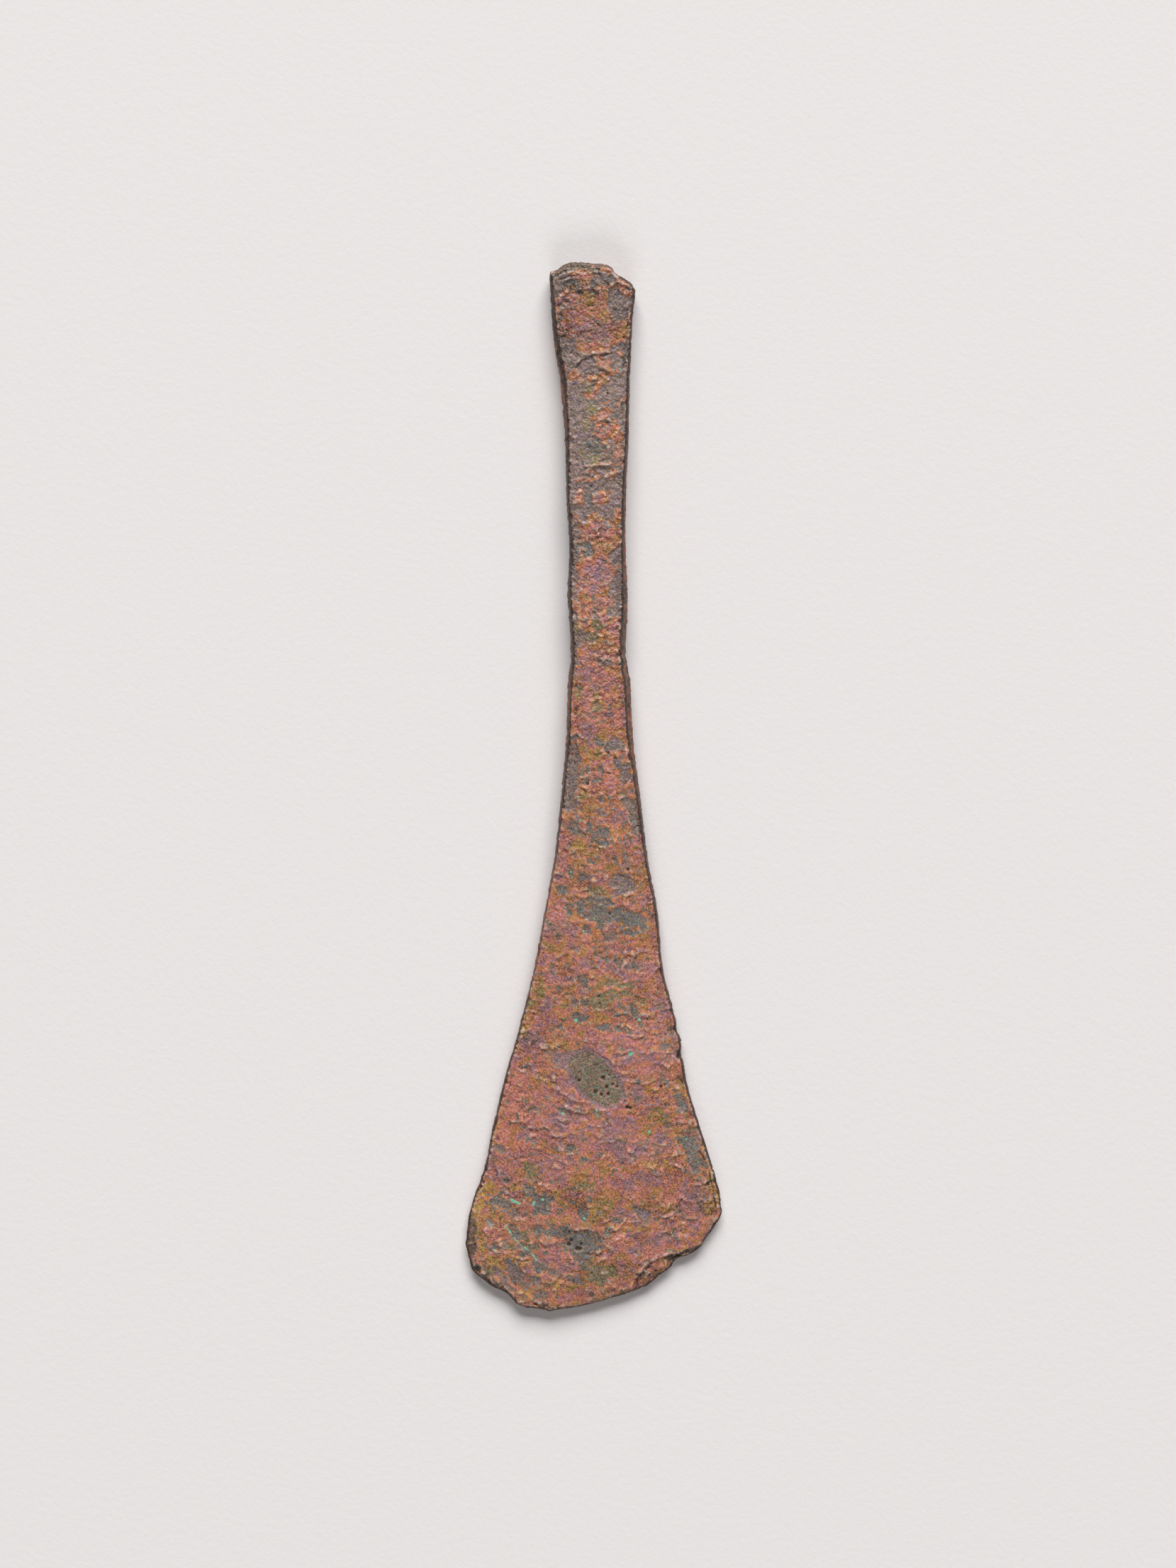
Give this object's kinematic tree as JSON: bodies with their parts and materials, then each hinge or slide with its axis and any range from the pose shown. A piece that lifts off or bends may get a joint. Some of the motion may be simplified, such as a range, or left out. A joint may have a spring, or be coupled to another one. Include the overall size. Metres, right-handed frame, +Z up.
{
  "type": "bronze axe head",
  "caption": "Slender cast bronze axe head with a narrow shank, a snapped butt and a flared, chipped cutting edge, lying flat.",
  "frame": {"origin": "on the ground under the middle of the length and of the width, in the plane of the flat underside", "axes": "+Y towards the butt and -Y towards the cutting edge, +Z up through the thickness, +X to the right as seen from above with the butt at the top"},
  "size_m": [0.0488, 0.2, 0.0063],
  "materials": {
    "bronze_patina": "matt mineral patina of red, mauve and ochre copper oxides with slate grey and turquoise spots"
  },
  "bodies": {
    "root": {"axe_head": "bronze_patina"}
  },
  "joints": []
}
